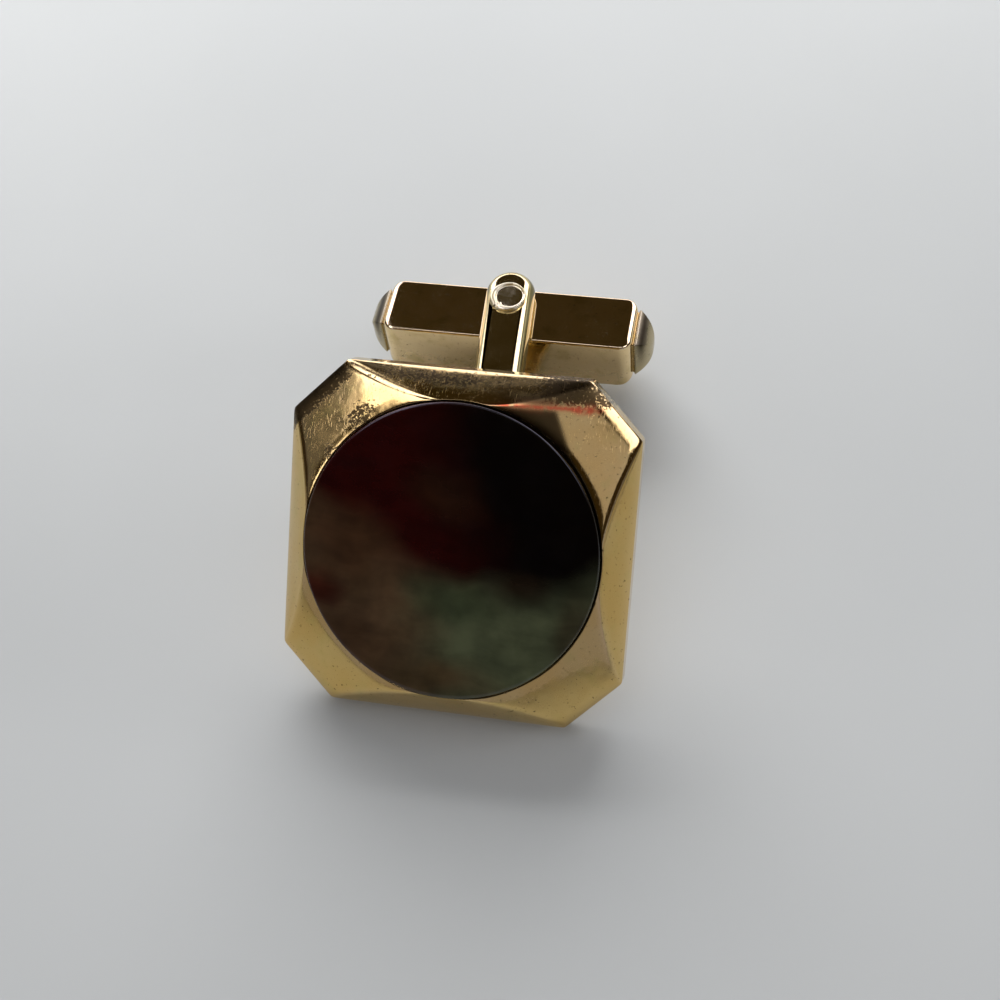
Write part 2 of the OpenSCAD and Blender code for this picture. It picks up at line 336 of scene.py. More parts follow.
def gold_material(name, base=GOLD, warm=WARM_GOLD, roughness=0.12, waves=0.55, scratch=1.0, pits=0.45):
    """Worn gold plate: soft waves, hairlines, lone pits, and dark pitted patches where the wear says so; it
    also takes painted shade and a painted orange-red reflection from the meshes' attributes.
    """
    material, n, shader = new_material(name)
    where = n.millimetres()
    worn = n.attribute("worn")

    warm_clouds = n.ramp(n.noise(where, scale=0.35, detail=3.0), 0.35, 0.65)
    olive_clouds = n.ramp(n.noise(where, scale=0.9, detail=3.0), 0.5, 0.75, 0.0, OLIVE_SHARE)
    colour = n.mix(warm_clouds, base, warm)
    colour = n.mix(olive_clouds, colour, OLIVE_GOLD)
    colour = n.mix(n.times(n.attribute("edge"), RUBBED_SHARE), colour, PALE_GOLD)

    grain = n.math("SUBTRACT", n.noise(where, scale=6.5, detail=5.0, distortion=0.4), 0.5)
    pitted = n.ramp(n.total(worn, n.times(grain, GRAIN_SWING)), 0.30, 0.70)
    lone_pits = n.ramp(n.noise(where, scale=2.2, detail=2.0), 0.74, 0.78)
    tarnish_and_shade = n.math("MAXIMUM", n.times(pitted, PITTED_SHARE), n.times(lone_pits, pits))
    # Painted shade from the meshes is mixed in with the tarnish here
    tarnish_and_shade = n.math("MAXIMUM", tarnish_and_shade, n.attribute("darkening"))
    colour = n.mix(tarnish_and_shade, colour, TARNISH_AND_SHADE)

    patchy = n.ramp(n.noise(where, scale=2.2, detail=3.0), 0.2, 0.55)
    # Painted orange-red reflection, where a mesh asks for it
    colour = n.mix(n.times(n.attribute("copper_reflection"), patchy, clamp=True), colour, COPPER_REFLECTION)
    n.feed(shader.inputs["Base Color"], colour)

    hairs = crossed_scratches(n, where, (0.4, 14.0, 0.66), (2.1, 18.0, 0.68))
    uneven = n.ramp(n.noise(where, scale=0.7, detail=4.0), 0.3, 0.75, roughness * 0.7, roughness * 1.7)
    rough_hairs = n.times(hairs, HAIR_ROUGHNESS * scratch)
    rough_pits = n.times(tarnish_and_shade, PIT_ROUGHNESS)
    n.feed(shader.inputs["Roughness"], n.total(uneven, rough_hairs, rough_pits, n.attribute("matt")))

    swell = n.times(n.noise(where, scale=0.9, detail=2.0), waves)
    grooves = n.times(hairs, -HAIR_DEPTH * scratch)
    hollows = n.times(tarnish_and_shade, -PIT_DEPTH)
    dimpled = n.total(n.times(worn, DIMPLES_WORN), DIMPLES_CLEAN * scratch)
    dimples = n.times(n.noise(where, scale=9.0, detail=3.0), dimpled)
    height = n.total(swell, grooves, hollows, dimples)
    n.feed(shader.inputs["Normal"], n.bump(height, 1.0, RELIEF_DEPTH))
    n.feed(shader.inputs["Metallic"], 1.0)
    return material


def shaded_sides(material):
    """Painted shade on the fork's side walls, between its shoulders and its lower edges, for the dark bar
    top they mirror.
    """
    n = Nodes(material.node_tree)
    base_colour = n.tree.nodes["Principled BSDF"].inputs["Base Color"]
    unshaded = base_colour.links[0].from_socket
    _, _, height = n.add("ShaderNodeSeparateXYZ", {0: n.millimetres(pivot_to_row)}).outputs
    level = n.math("ABSOLUTE", height)
    under_shoulder = n.ramp(level, *[FORK_HALF - gap for gap in UNSHADED_SHOULDER])
    over_edge = n.ramp(level, *[SLOT_HALF + gap for gap in UNSHADED_EDGE])
    wall = n.times(under_shoulder, over_edge)
    n.feed(base_colour, n.mix(n.times(wall, SIDE_SHADE_SHARE), unshaded, SIDE_SHADE))


# The pearl: its four main colours, and how far its flow is pulled about, in millimetres
MAROON = (0.028, 0.0018, 0.0009, 1)
BLACK = (0.0025, 0.0012, 0.0005, 1)
BROWN = (0.090, 0.050, 0.024, 1)
GREY_GREEN = (0.088, 0.098, 0.050, 1)
PEARL_PULL = (3.4, 2.6, 0.0)

# Its clouds: middle and half sizes in millimetres, turn in degrees, colour, and how much of it shows
PEARL_CLOUDS = (
    ((-0.2, 3.2), (3.4, 2.0), 0, (0.0240, 0.0085, 0.0030, 1), 0.8),
    ((-5.9, 0.2), (3.6, 3.0), -20, (0.0590, 0.0260, 0.0110, 1), 0.9),
    ((0.4, -2.7), (4.2, 1.5), -10, (0.0460, 0.0600, 0.0270, 1), 0.7),
    ((4.4, -1.6), (2.2, 1.1), 10, (0.0150, 0.0070, 0.0030, 1), 0.8),
    ((-7.3, -2.6), (1.9, 1.5), 0, (0.0500, 0.0090, 0.0045, 1), 0.9),
    ((-0.8, -7.0), (5.6, 2.1), 0, (0.0680, 0.0430, 0.0190, 1), 0.95),
    ((-5.6, -5.3), (2.6, 2.8), 30, (0.0400, 0.0180, 0.0080, 1), 0.55),
    ((7.6, -3.6), (1.7, 3.4), 0, (0.0420, 0.0320, 0.0160, 1), 0.8),
)


def pearl_material():
    """Dark mother-of-pearl under a clear polish: maroon and black above, brown and grey-green below."""
    material, n, shader = new_material("dark_pearl")
    where = n.millimetres(head_to_row)
    flow = n.add("ShaderNodeTexNoise", {"Vector": where, "Scale": 0.22, "Detail": 2.5}).outputs["Color"]
    pull = n.vector("MULTIPLY", n.vector("SUBTRACT", flow, (0.5, 0.5, 0.5)), PEARL_PULL)
    warped = n.vector("ADD", where, pull)
    across, up, _ = n.add("ShaderNodeSeparateXYZ", {0: warped}).outputs

    def cloud(middle, size, turn):
        """1 in the middle of an ellipse in the disc's plane, and 0 outside it."""
        moved = n.vector("SUBTRACT", warped, (*middle, 0))
        turned = n.add("ShaderNodeMapping", {"Vector": moved, "Rotation": (0, 0, math.radians(-turn))})
        scaled = n.vector("MULTIPLY", turned.outputs[0], (1 / size[0], 1 / size[1], 0))
        return n.ramp(n.vector("LENGTH", scaled), 1.0, 0.2)

    # The upper part turns from maroon to black to the right, the lower from brown to grey-green,
    # and the border between them slants and bends
    dusk = n.ramp(n.total(across, n.times(up, 0.25)), -1.6, 4.2)
    upper = n.mix(dusk, MAROON, BLACK)
    lower = n.mix(n.ramp(across, -3.5, 1.5), BROWN, GREY_GREEN)
    slant = n.times(across, 0.25)
    bend = n.times(n.math("POWER", across, 2.0), -0.045)
    light = n.ramp(n.total(up, n.total(slant, bend)), -0.4, -3.6)
    colour = n.mix(light, upper, lower)
    for middle, size, turn, tint, amount in PEARL_CLOUDS:
        colour = n.mix(n.times(cloud(middle, size, turn), amount), colour, tint)

    stretch = {"Vector": warped, "Rotation": (0, 0, 0.2), "Scale": (0.22, 1.1, 1.0)}
    bands = n.noise(n.add("ShaderNodeMapping", stretch).outputs[0], scale=1.1, detail=4.0, distortion=0.3)
    patches = n.noise(where, scale=0.55, detail=3.0)
    veil = n.total(n.ramp(bands, 0.3, 0.7, -0.12, 0.12), n.ramp(patches, 0.3, 0.7, 0.8, 1.2))
    shade = n.add("ShaderNodeCombineXYZ", {0: veil, 1: veil, 2: veil}).outputs[0]
    n.feed(shader.inputs["Base Color"], n.vector("MULTIPLY", colour, shade))

    polish = n.ramp(n.noise(where, scale=0.8, detail=3.0), 0.3, 0.7, 0.16, 0.26)
    hairs = crossed_scratches(n, where, (0.9, 10.0, 0.70), (2.6, 12.0, 0.71))
    n.feed(shader.inputs["Roughness"], polish)
    n.feed(shader.inputs["Coat Normal"], n.bump(hairs, 0.3, -0.002))
    n.feed(shader.inputs["Coat Weight"], 0.55)
    n.feed(shader.inputs["Coat Roughness"], 0.04)
    n.feed(shader.inputs["Specular IOR Level"], 0.1)
    return material


def plain_material(name, colour, dark, roughness, metallic, scale):
    """A simple finish with cloudy colour, uneven gloss and a fine grain."""
    material, n, shader = new_material(name)
    where = n.millimetres()
    clouds = n.ramp(n.noise(where, scale, detail=4.0), 0.35, 0.7)
    gloss = n.ramp(n.noise(where, scale * 3, detail=3.0), 0.3, 0.7, roughness * 0.8, roughness * 1.3)
    grain = n.noise(where, scale * 12, detail=4.0)
    n.feed(shader.inputs["Base Color"], n.mix(clouds, colour, dark))
    n.feed(shader.inputs["Roughness"], gloss)
    n.feed(shader.inputs["Normal"], n.bump(grain, 0.6, 0.01))
    n.feed(shader.inputs["Metallic"], metallic)
    return material


polished = gold_material("polished_gold", roughness=0.08)
# A paler, brighter copy of the gold: painted light on the bar, whose front mirrors the shaded floor by the
# head
bar_gold = gold_material("bar_gold", PALE_GOLD, PALE_GOLD, roughness=0.07, waves=0.15, scratch=0.3, pits=0.2)
fork_gold = gold_material("fork_gold", DULL_GOLD, DULL_GOLD, roughness=0.08, waves=0.25, scratch=0.5)
# Painted shade on the fork's side walls
shaded_sides(fork_gold)
# A darker copy of the gold: painted shade on the caps
cap_gold = gold_material("cap_gold", CAP_GOLD, CAP_GOLD, roughness=0.17, waves=0.4, scratch=0.5)
# A paler, brighter copy of the gold: a painted highlight that makes the rivet rims cream
rivet_gold = gold_material("rivet_gold", BRIGHT_GOLD, BRIGHT_GOLD, roughness=0.13, waves=0.2, scratch=0.5)
pearl = pearl_material()
satin = plain_material(
    "satin_gold", (0.70, 0.52, 0.24, 1), (0.55, 0.40, 0.18, 1), roughness=0.3, metallic=1.0, scale=0.8,
)
solder = plain_material(
    "solder", (0.62, 0.55, 0.40, 1), (0.40, 0.33, 0.22, 1), roughness=0.35, metallic=1.0, scale=1.5,
)
cement = plain_material(
    "cement", (0.62, 0.56, 0.42, 1), (0.5, 0.44, 0.3, 1), roughness=0.6, metallic=0.0, scale=1.5,
)
steel = plain_material(
    "spring_steel", (0.45, 0.46, 0.48, 1), (0.3, 0.3, 0.32, 1), roughness=0.3, metallic=1.0, scale=1.0,
)


# The head's form: where its facets start and end, how they bulge, and how its ridges soften
SIDE_FOOT = HEAD_W / 2
CORNER_FOOT = (HEAD_W - HEAD_CUT) / math.sqrt(2)
SIDE_TOP = OPENING_R * math.cos(math.radians(RIDGE_TURN))
CORNER_TOP = OPENING_R * math.cos(math.radians(45 - RIDGE_TURN))
CORNER_BULGE = 0.06
SIDE_BULGE = 0.012
PILLOW = 0.16
PILLOW_HALF = 4
EDGE_SOFT = 0.0385
RIDGE_SOFT = 0.08

# Width and depth of what is rolled over: the lip at the ridges, what is added to it where the
# opening lies lower, and the outer edge
LIP = (0.2, 0.05)
CORNER_LIP = (0.4, 0.06)
LIP_FADE = 0.5
EDGE_ROLL = (0.7, 0.12)

# How far the wear of the ridges and the edge reaches
RIDGE_WEAR = 0.12
EDGE_WEAR = 0.25

# The opening's wall, the head's side, its rounded back edge (as start, end and steps of its arc),
# and the rim of its back
THROAT_Z = 0.6
THROAT_SHARE = 0.6
SIDE_STEPS = (0.02, 0.3, 0.6, 0.97, 1)
BACK_FILLET = 0.15
BACK_FILLET_ARC = (-10, -90, 6)
BACK_WEAR = 0.5
BACK_RIM_STEPS = (1.015, 1.004)
RECESS_STEPS = (0.035, 0.5)

# Fineness of the mesh: columns to a ridge, how much they crowd there, and rows on a facet
RIDGE_COLUMNS = 26
CROWDING = 1.6
FACET_ROWS = 64


def facet_height(x, y, i):
    """Height of facet i (even ones are the sides', odd ones the cut corners')."""
    a = math.radians(45 * i)
    u = x * math.cos(a) + y * math.sin(a)
    v = y * math.cos(a) - x * math.sin(a)
    foot, top = (CORNER_FOOT, CORNER_TOP) if i % 2 else (SIDE_FOOT, SIDE_TOP)
    t = (foot - u) / (foot - top)
    on = min(max(t, 0), 1)
    bulge = CORNER_BULGE if i % 2 else SIDE_BULGE
    return RIDGE_H * t + 4 * bulge * on * (1 - on) - PILLOW * (v / PILLOW_HALF) ** 2 * on


def facet_heights(x, y):
    """Heights of all eight facets above one place."""
    return [facet_height(x, y, i) for i in range(8)]


def edge_distance(x, y, scale=1.0):
    """Distance inside the head's rounded outline, or inside one scaled from it."""
    gaps = []
    for i in range(8):
        a = math.radians(45 * i)
        foot = CORNER_FOOT if i % 2 else SIDE_FOOT
        gaps.append(foot * scale - x * math.cos(a) - y * math.sin(a))
    return soft_min(gaps, EDGE_SOFT)


def outline_radius(angle, scale=1.0):
    """Radius of the outline in a direction, found by halving."""
    low, high = 0.0, HEAD_W
    halvings = 40
    for _ in range(halvings):
        middle = (low + high) / 2
        inside = edge_distance(middle * math.cos(angle), middle * math.sin(angle), scale) > 0
        low, high = (middle, high) if inside else (low, middle)
    return low


def head_columns():
    """Pairs of angles, at the opening and at the outline, so that the ridges lie on columns."""
    knee = math.degrees(math.atan2(SIDE_FOOT - HEAD_CUT, SIDE_FOOT))
    half = []
    for i in range(RIDGE_COLUMNS):
        t = 1 - (1 - i / RIDGE_COLUMNS) ** CROWDING
        half.append((RIDGE_TURN * t, knee * t))
    for i in range(RIDGE_COLUMNS):
        t = (i / RIDGE_COLUMNS) ** CROWDING
        half.append((RIDGE_TURN + (45 - RIDGE_TURN) * t, knee + (45 - knee) * t))
    half.append((45, 45))
    quarter = half + [(90 - r, 90 - o) for r, o in reversed(half[1:-1])]
    return [(r + 90 * k, o + 90 * k) for k in range(4) for r, o in quarter]


def facet_points(start, end):
    """Points (x, y, z, share of edge wear) over a facet, from the opening to the outline."""
    column = []
    for t in eased(FACET_ROWS):
        p = start.lerp(end, t)
        heights = facet_heights(p.x, p.y)
        z = soft_min(heights, RIDGE_SOFT)
        rim_gap = p.length - OPENING_R
        edge_gap = max(edge_distance(p.x, p.y), 0)
        low = min(1, max(0, (RIDGE_H - z) / LIP_FADE))
        z -= roll_drop(rim_gap, LIP[0] + CORNER_LIP[0] * low, LIP[1] + CORNER_LIP[1] * low)
        z -= roll_drop(edge_gap, *EDGE_ROLL)
        first, second = sorted(heights)[:2]
        sharp = max(math.exp(-(second - first) / RIDGE_WEAR), math.exp(-edge_gap / EDGE_WEAR))
        column.append((p.x, p.y, z, sharp))
    return column


def side_points(angle, outer, inner, top_z):
    """Points down the head's side, round its back edge, and over the back's rim into its recess."""
    toward = Vector((math.cos(angle), math.sin(angle)))
    end = toward * outer
    rim = toward * inner
    foot_z = SIDE_H - BACK_FILLET
    column = [(end.x, end.y, top_z * (1 - s) - foot_z * s, 0.0) for s in SIDE_STEPS]
    for r, z in arc((outer - BACK_FILLET, BACK_FILLET - SIDE_H), BACK_FILLET, *BACK_FILLET_ARC):
        column.append((math.cos(angle) * r, math.sin(angle) * r, z, BACK_WEAR))
    column += [(rim.x * s, rim.y * s, -SIDE_H, 0.0) for s in BACK_RIM_STEPS]
    column += [(rim.x, rim.y, depth - SIDE_H, 0.0) for depth in RECESS_STEPS]
    return column


def head_shell():
    """The head's gold skin: a closed row of columns from the opening over the facets to the back."""
    plate_scale = (HEAD_W - 2 * RIM_WALL) / HEAD_W
    rows = []
    for rim_angle, outer_angle in head_columns():
        ra, oa = math.radians(rim_angle), math.radians(outer_angle)
        start = Vector((math.cos(ra), math.sin(ra))) * OPENING_R
        outer = outline_radius(oa)
        inner = outline_radius(oa, plate_scale)
        facet = facet_points(start, Vector((math.cos(oa), math.sin(oa))) * outer)
        throat = [(start.x, start.y, z, 0.0) for z in (THROAT_Z, facet[0][2] * THROAT_SHARE)]
        rows.append(throat + facet + side_points(oa, outer, inner, facet[-1][2]))
    points = [p for row in rows for p in row]
    wear = {
        "edge": [p[3] for p in points],
        "worn": [worn_share(x, y) for x, y, _, _ in points],
        # Painted orange-red reflection along the upper right ridge
        "copper_reflection": [copper_reflection_share(x, y) for x, y, _, _ in points],
        # Painted shade in the wedge by the disc, and a darker band on the top
        "darkening": [darkening_share(x, y) for x, y, _, _ in points],
    }
    add_piece(
        "head_shell", [p[:3] for p in points], grid_faces(len(rows), len(rows[0]), closed_rows=True),
        head_to_row, "root", polished, ["face_frame"], wear,
    )


# Wear, painted shade, a darker band and a painted reflection on the head, in its millimetres: each pair is
# where a patch starts or ends, and how soft that is
# The pitted band inside the upper left cut
BAND_IN = (0.85, 0.12)
BAND_UP = (1.75, 0.12)

# The pits at the upper right, with a slanted right edge
CORNER_BOTTOM = (8.2, 0.06)
CORNER_LEFT = (4.2, 0.3)
CORNER_SLANT = (6.9, 0.1)
CORNER_SLOPE = 1.06
CORNER_SLOPE_Y = 9.18
CORNER_STRENGTH = 0.8

# Pitted patches: middle, half sizes, turn in degrees, strength
PIT_PATCHES = (
    ((-5.45, 6.7), (1.0, 0.6), 38, 0.8),
    ((-6.9, 4.6), (0.6, 0.5), 60, 0.6),
    ((-1.9, 9.05), (3.6, 0.32), 0, 0.45),
    ((1.0, 8.9), (6.0, 0.5), 0, 0.3),
)

# The dark wedge of painted shade between the disc and the upper right facet, with a slanted right edge
WEDGE_TOP = (7.98, 0.05)
WEDGE_BOTTOM = (5.2, 0.15)
WEDGE_LEFT = (1.9, 0.25)
WEDGE_RIGHT = 5.03
WEDGE_RIGHT_Y = 7.88
WEDGE_RIGHT_SOFT = 0.05
WEDGE_SLOPE = 0.445
WEDGE_STRENGTH = 0.95

# The darker band above the orange-red line
DARK_BAND_BOTTOM = (8.18, 0.04)
DARK_BAND_TOP = (8.8, 0.08)
DARK_BAND_LEFT = (2.4, 0.4)
DARK_BAND_RIGHT = (5.4, 0.3)
DARK_BAND_STRENGTH = 0.85

# The painted orange-red reflection along the ridge: where it starts and ends, its height and half width, and
# those of its halo
COPPER_LEFT = (1.8, 0.3)
COPPER_RIGHT = (7.2, 0.12)
COPPER_LINE = (8.06, 0.08)
COPPER_HALO = (8.1, 0.25)
HALO_STRENGTH = 0.25
COPPER_SPOT = ((6.5, 8.0), (0.7, 0.2), 0)


def worn_share(x, y):
    """Where the plating is pitted: by the upper left corner, beside the disc, and at the upper right."""
    in_from_cut = (HEAD_W - HEAD_CUT + x - y) / math.sqrt(2)
    along_cut = (x + y) / math.sqrt(2)
    band = short_of(in_from_cut, *BAND_IN) * short_of(along_cut, *BAND_UP)
    slanted = x + CORNER_SLOPE * (y - CORNER_SLOPE_Y)
    corner = past(y, *CORNER_BOTTOM) * past(x, *CORNER_LEFT) * short_of(slanted, *CORNER_SLANT)
    patches = sum(strength * blob(x, y, *patch) for *patch, strength in PIT_PATCHES)
    return min(1, band + CORNER_STRENGTH * corner + patches)


def darkening_share(x, y):
    """Where the head is darkened: painted shade in the wedge between the disc and the upper right facet, and
    a darker band above the orange-red line.
    """
    right = WEDGE_RIGHT + WEDGE_SLOPE * (WEDGE_RIGHT_Y - y)
    # The wedge is painted shade; the band above it is only made darker
    wedge = (
        WEDGE_STRENGTH * short_of(y, *WEDGE_TOP) * short_of(x, right, WEDGE_RIGHT_SOFT)
        * past(x, *WEDGE_LEFT) * past(y, *WEDGE_BOTTOM)
    )
    above = (
        DARK_BAND_STRENGTH * past(y, *DARK_BAND_BOTTOM) * short_of(y, *DARK_BAND_TOP)
        * past(x, *DARK_BAND_LEFT) * short_of(x, *DARK_BAND_RIGHT)
    )
    return wedge + above


def copper_reflection_share(x, y):
    """Where an orange-red reflection is painted: along the ridge above the upper right facet."""
    along = past(x, *COPPER_LEFT) * short_of(x, *COPPER_RIGHT)
    line = bell(y, *COPPER_LINE) + HALO_STRENGTH * bell(y, *COPPER_HALO)
    return min(1, along * line + blob(x, y, *COPPER_SPOT))


# The disc: its bevel, how far its face falls to the rim, and how far down its side goes
DISC_BEVEL = 0.11
DISC_BEVEL_ARC = (80, 0, 10)
DISC_FACE_R = 0.97 * DISC_R
DISC_DOME = 0.02
DISC_SIDE = 0.6
DISC_BACK_CUT = 0.05
DISC_RINGS = 20
DISC_TURNS = 256


def pearl_disc():
    """Lathe of the disc: a faintly domed face, a soft bevel, and a plain side."""
    profile = [(0.001, DISC_TOP)]
    for i in range(1, DISC_RINGS + 1):
        profile.append((DISC_FACE_R * i / DISC_RINGS, DISC_TOP - DISC_DOME * (i / DISC_RINGS) ** 4))
    profile += arc((DISC_R - DISC_BEVEL, DISC_TOP - DISC_DOME - DISC_BEVEL), DISC_BEVEL, *DISC_BEVEL_ARC)
    profile += [
        (DISC_R, DISC_TOP - DISC_SIDE),
        (DISC_R, DISC_TOP - DISC_T + DISC_BACK_CUT),
        (DISC_R - DISC_BACK_CUT, DISC_TOP - DISC_T),
    ]
    points = []
    for k in range(DISC_TURNS):
        a = 2 * math.pi * k / DISC_TURNS
        points += [(r * math.cos(a), r * math.sin(a), z) for r, z in profile]
    faces = grid_faces(DISC_TURNS, len(profile), closed_rows=True)
    add_piece("pearl_face", points, faces, head_to_row, "root", pearl, ["pearl_disc"])


# The bar: its plan's corners, width and depth of its top's roll at the ends and of its heels, and
# its long edges; where its loops lie, and how far in from the edges its top has points
BAR_CORNER = 0.75
BAR_END_ROLL = (0.38, 0.34)
BAR_HEEL_ROLL = (1.1, 0.5)
BAR_EDGE_R = 0.15
BAR_STATIONS = [0, 2, 4, 5.5]
BAR_TOP_INSETS = (0.08, 0.16, 0.24, 0.34, 0.46, 0.6)
BAR_SIDES_MATT = 0.26

# A cap: half its width, height above and below its middle, and edges; its neck and its dome, as
# distance out from the bar and share of the full size; the belt of painted shade round it
CAP_RISE = 1.1
CAP_HALF_W = 1.4
CAP_HIGH = 1.47
CAP_LOW = 1.2
CAP_EDGE_R = 0.1
CAP_NECK = [(-0.05, 0.93), (0.07, 0.93), (0.085, 0.955), (0.12, 0.99), (0.17, 1.0)]
CAP_TIP = 0.04
CAP_CURVE = 0.42
CAP_STEPS = 24
CAP_SHADE_BELT = (0.48, 0.28)
CAP_SHADE_BOTTOM = (0.15, 0.12)
CAP_SHADE_STRENGTH = 0.92


def rounded_rectangle(y, low, high, radius, steps=5):
    """Closed loop (y, z) of a rectangle with rounded corners."""
    loop = []
    corners = [(y, high, 0), (-y, high, 90), (-y, low, 180), (y, low, 270)]
    for cy, cz, start in corners:
        centre = (cy - math.copysign(radius, cy), cz - radius if cz == high else cz + radius)
        loop += arc(centre, radius, start, start + 90, steps)
    return loop


def end_drop(x, y):
    """How far the bar's top is rolled over at an end, round the rounded corners of its plan."""
    dx = max(abs(x) - BAR_LEN / 2 + BAR_CORNER, 0)
    dy = max(abs(y) - BAR_W / 2 + BAR_CORNER, 0)
    reach = math.hypot(dx, dy)
    if reach == 0:
        return 0
    return roll_drop(BAR_CORNER - reach, *BAR_END_ROLL) * (dx / reach) ** 2


def toggle_box():
    """Box-section bar: loops along its length, drawn in at the ends to round their corners."""
    half = BAR_LEN / 2
    reach = BAR_HEEL_ROLL[0]
    crowded = [half - reach * (1 - math.sin(math.radians(a))) for a in range(0, 90, 5)]
    stations = BAR_STATIONS + crowded + [half]
    stations = sorted({-s for s in stations} | set(stations))
    loops = []
    for x in stations:
        gap = half - abs(x)
        y = BAR_W / 2 - roll_drop(gap, BAR_CORNER, BAR_CORNER)
        low = -BAR_H / 2 + roll_drop(gap, *BAR_HEEL_ROLL)
        loop = rounded_rectangle(y, low, BAR_H / 2, BAR_EDGE_R)
        corner = len(loop) // 4
        flat = [(y - BAR_EDGE_R - inset, BAR_H / 2) for inset in BAR_TOP_INSETS]
        flat += [(-q, z) for q, z in reversed(flat)]
        loop[corner:corner] = flat
        loops.append([(x, q, z - end_drop(x, q) if z > 0 else z) for q, z in loop])
    count = len(loops[0])
    first = [(-half, 0, 0)] * count
    last = [(half, 0, 0)] * count
    points = [p for loop in [first] + loops + [last] for p in loop]
    matt = []
    for x, _, z in points:
        below_top = z < BAR_H / 2 - BAR_EDGE_R and abs(x) < half - BAR_CORNER
        matt.append(BAR_SIDES_MATT if below_top else 0.0)
    faces = grid_faces(len(loops) + 2, count, closed_columns=True)
    add_piece(
        "toggle_box", points, faces, pivot_to_row, "toggle", bar_gold, ["toggle_tube"],
        {"matt": matt},
    )


def end_cap(side, node):
    """Blunt four-sided dome on one end of the bar, set off from it by a narrow neck."""
    start = BAR_LEN / 2
    foot = CAP_NECK[-1][0]
    profile = list(CAP_NECK)
    for i in range(1, CAP_STEPS + 1):
        left = (1 - i / CAP_STEPS) ** 2
        size = CAP_TIP + (1 - CAP_TIP) * left ** CAP_CURVE
        profile.append((foot + (CAP_RISE - foot) * (1 - left), size))
    loops = []
    for d, size in profile:
        loop = rounded_rectangle(
            CAP_HALF_W * size, -CAP_LOW * size, CAP_HIGH * size, CAP_EDGE_R * size, 6
        )
        loops.append([(side * (start + d), y, z) for y, z in loop])
    count = len(loops[0])
    points = [p for loop in loops for p in loop]
    points += [(side * (start + CAP_RISE), 0, 0)] * count
    # A belt of painted shade on the cap's upper facets, for the dark band they mirror
    darkening = []
    for x, _, z in points:
        belt = bell(abs(x) - start, *CAP_SHADE_BELT)
        darkening.append(CAP_SHADE_STRENGTH * belt * past(z, *CAP_SHADE_BOTTOM))
    faces = grid_faces(len(loops) + 1, count, closed_columns=True)
    add_piece(
        node + "_polished", points, faces, pivot_to_row, "toggle", cap_gold, [node],
        {"darkening": darkening},
    )


# A rivet head: its rim's mean width, how much wider and narrower it gets, where it is widest, how
# far it rolls over in degrees, and how ragged its outline is
PIN_HEAD_R = 1.1
PIN_HEAD_H = 0.25
RIM_W = 0.16
RIM_SWING = 0.08
RIM_WIDEST_AT = 200
RIM_TURN = 150
RIM_STEPS = 16
RIM_MATT = 0.14
RIM_RAG = 0.02
RAG_SCALE = 2.0
RAG_SLICE = 3.0

# The nick in the rim, in degrees, and what it takes off the rim's height and radius
NICK_AT = 236
NICK_W = 6
NICK_DEPTH = 0.5
NICK_NOTCH = 0.05

# The sunken top: its level and dish, its rings as shares of its radius, and the hammer's marks
TOP_Z = PIN_HEAD_H * 0.5
TOP_DISH = 0.02
TOP_RINGS = (0.93, 0.8, 0.5, 0.25, 0.001)
HAMMERED = 0.012
HAMMER_SCALE = 3
HAMMER_SLICE = 7.0
RIVET_TURNS = 120


def rivet_head(sign):
    """Peened head: a thick soft rim, wider at the left, round a sunken hammered top, with one nick."""
    points = []
    matt = []
    for k in range(RIVET_TURNS):
        a = 2 * math.pi * k / RIVET_TURNS
        c, s = math.cos(a), math.sin(a)
        rag = 1 + RIM_RAG * noise.noise(Vector((c * RAG_SCALE, s * RAG_SCALE, RAG_SLICE * sign)))
        nick = bell(math.degrees(a), NICK_AT, NICK_W)
        rim = RIM_W + RIM_SWING * math.cos(a - math.radians(RIM_WIDEST_AT))
        crest = PIN_HEAD_H * (1 - NICK_DEPTH * nick)
        outer = PIN_HEAD_R * rag * (1 - NICK_NOTCH * nick)
        over = arc((0, 0), 1, 0, RIM_TURN, RIM_STEPS)
        profile = [(outer - rim + u * rim, v * crest) for u, v in over]
        foot = profile[-1][0]
        profile += [(foot * t, TOP_Z - TOP_DISH * (1 - t)) for t in TOP_RINGS]
        matt += [RIM_MATT] * (RIM_STEPS + 1) + [0.0] * len(TOP_RINGS)
        for r, z in profile:
            if r < outer - rim:
                mark = Vector((r * c * HAMMER_SCALE, r * s * HAMMER_SCALE, HAMMER_SLICE))
                z += HAMMERED * noise.noise(mark)
            points.append((r * c, r * s, sign * (FORK_HALF + max(0, z))))
    name = "rivet_head_top" if sign > 0 else "rivet_head_under"
    faces = grid_faces(RIVET_TURNS, len(points) // RIVET_TURNS, closed_rows=True)
    replaced = ["pivot_pin"] if sign > 0 else []
    add_piece(name, points, faces, pivot_to_row, "root", rivet_gold, replaced, {"matt": matt})


def soften(obj, width, material):
    """Rounds the edges of a CAD node that stays, and gives it its finish."""
    join = obj.modifiers.new("joined_faces", "WELD")
    join.merge_threshold = 0.001 * MM
    flats = obj.modifiers.new("whole_flats", "DECIMATE")
    flats.decimate_type = "DISSOLVE"
    flats.angle_limit = math.radians(0.5)
    bevel = obj.modifiers.new("rounded_edges", "BEVEL")
    bevel.width = width * MM
    bevel.segments = 3
    bevel.limit_method = "ANGLE"
    bevel.angle_limit = math.radians(28)
    bevel.use_clamp_overlap = False
    flatten = obj.modifiers.new("flat_faces", "WEIGHTED_NORMAL")
    flatten.weight = 100
    for polygon in obj.data.polygons:
        polygon.use_smooth = True
    obj.data.materials.clear()
    obj.data.materials.append(material)


head_shell()
pearl_disc()
toggle_box()
end_cap(1, "toggle_cap_right")
end_cap(-1, "toggle_cap_left")
rivet_head(1)
rivet_head(-1)

